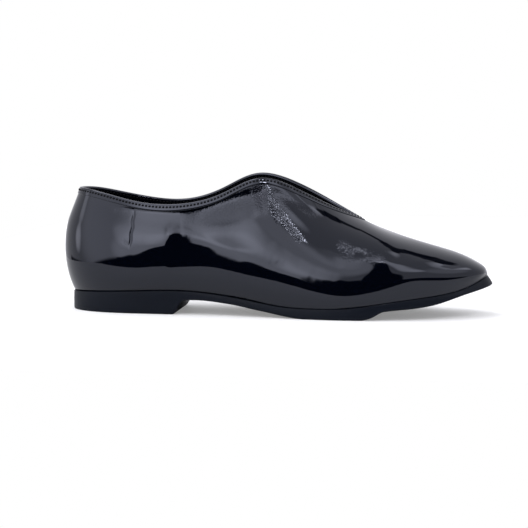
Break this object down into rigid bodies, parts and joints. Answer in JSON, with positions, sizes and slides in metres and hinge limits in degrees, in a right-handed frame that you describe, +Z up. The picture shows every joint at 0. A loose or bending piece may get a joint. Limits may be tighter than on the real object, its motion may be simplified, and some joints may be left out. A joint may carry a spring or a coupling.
{
  "type": "flat slip-on shoe",
  "caption": "Right women's flat slip-on shoe in black patent leather, with a V throat, a blunt almond toe, a bound topline and a moulded sole with a low heel.",
  "frame": {"origin": "on the floor, under the middle of the shoe's length and width", "axes": "+X to the toe, +Y to the medial side, +Z up"},
  "size_m": [0.26, 0.0828, 0.0833],
  "materials": {
    "sole_rubber": "satin moulded",
    "sock_lining": "matt",
    "patent_leather": "high gloss",
    "binding_leather": "high gloss"
  },
  "bodies": {
    "root": {"outsole": "sole_rubber", "insole": "sock_lining", "upper": "patent_leather", "topline_binding": "binding_leather"}
  },
  "joints": []
}
